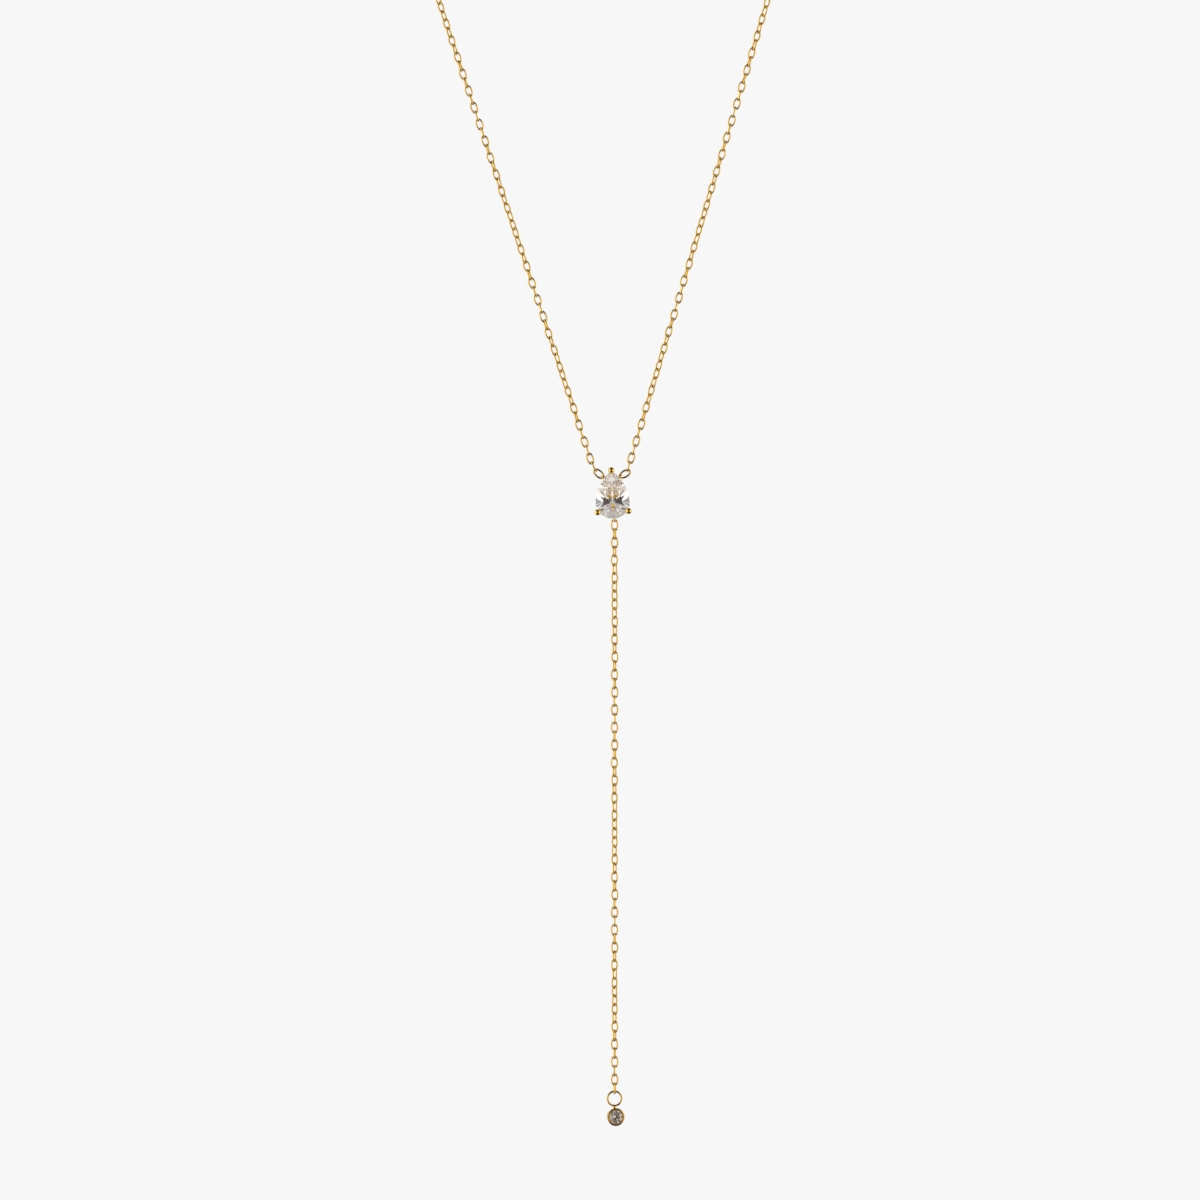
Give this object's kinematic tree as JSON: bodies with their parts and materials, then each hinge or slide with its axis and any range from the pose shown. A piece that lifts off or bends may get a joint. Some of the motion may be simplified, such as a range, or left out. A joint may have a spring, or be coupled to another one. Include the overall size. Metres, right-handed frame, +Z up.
{
  "type": "y necklace",
  "caption": "Y necklace of fine cable chain that meets at a prong-set pear stone, with a long chain drop ending in a small bezel-set round stone.",
  "frame": {"origin": "middle of the clasp at the nape, where the necklace hangs from the neck", "axes": "+Z up; the front of the necklace faces -Y; +X is the viewer's right"},
  "size_m": [0.1012, 0.0954, 0.2171],
  "materials": {
    "gold_plate": "polished yellow gold plating",
    "clear_stone": "faceted and polished, clear with a faint warm cast"
  },
  "bodies": {
    "root": {"pear_setting": "gold_plate", "pear_stone": "clear_stone", "left_end_ring": "gold_plate", "right_end_ring": "gold_plate", "left_neck_chain": "gold_plate", "right_neck_chain": "gold_plate", "left_nape_chain": "gold_plate", "right_nape_chain": "gold_plate", "clasp": "gold_plate", "clasp_ring": "gold_plate", "drop_chain": "gold_plate", "bezel_setting": "gold_plate", "bezel_stone": "clear_stone"}
  },
  "joints": []
}
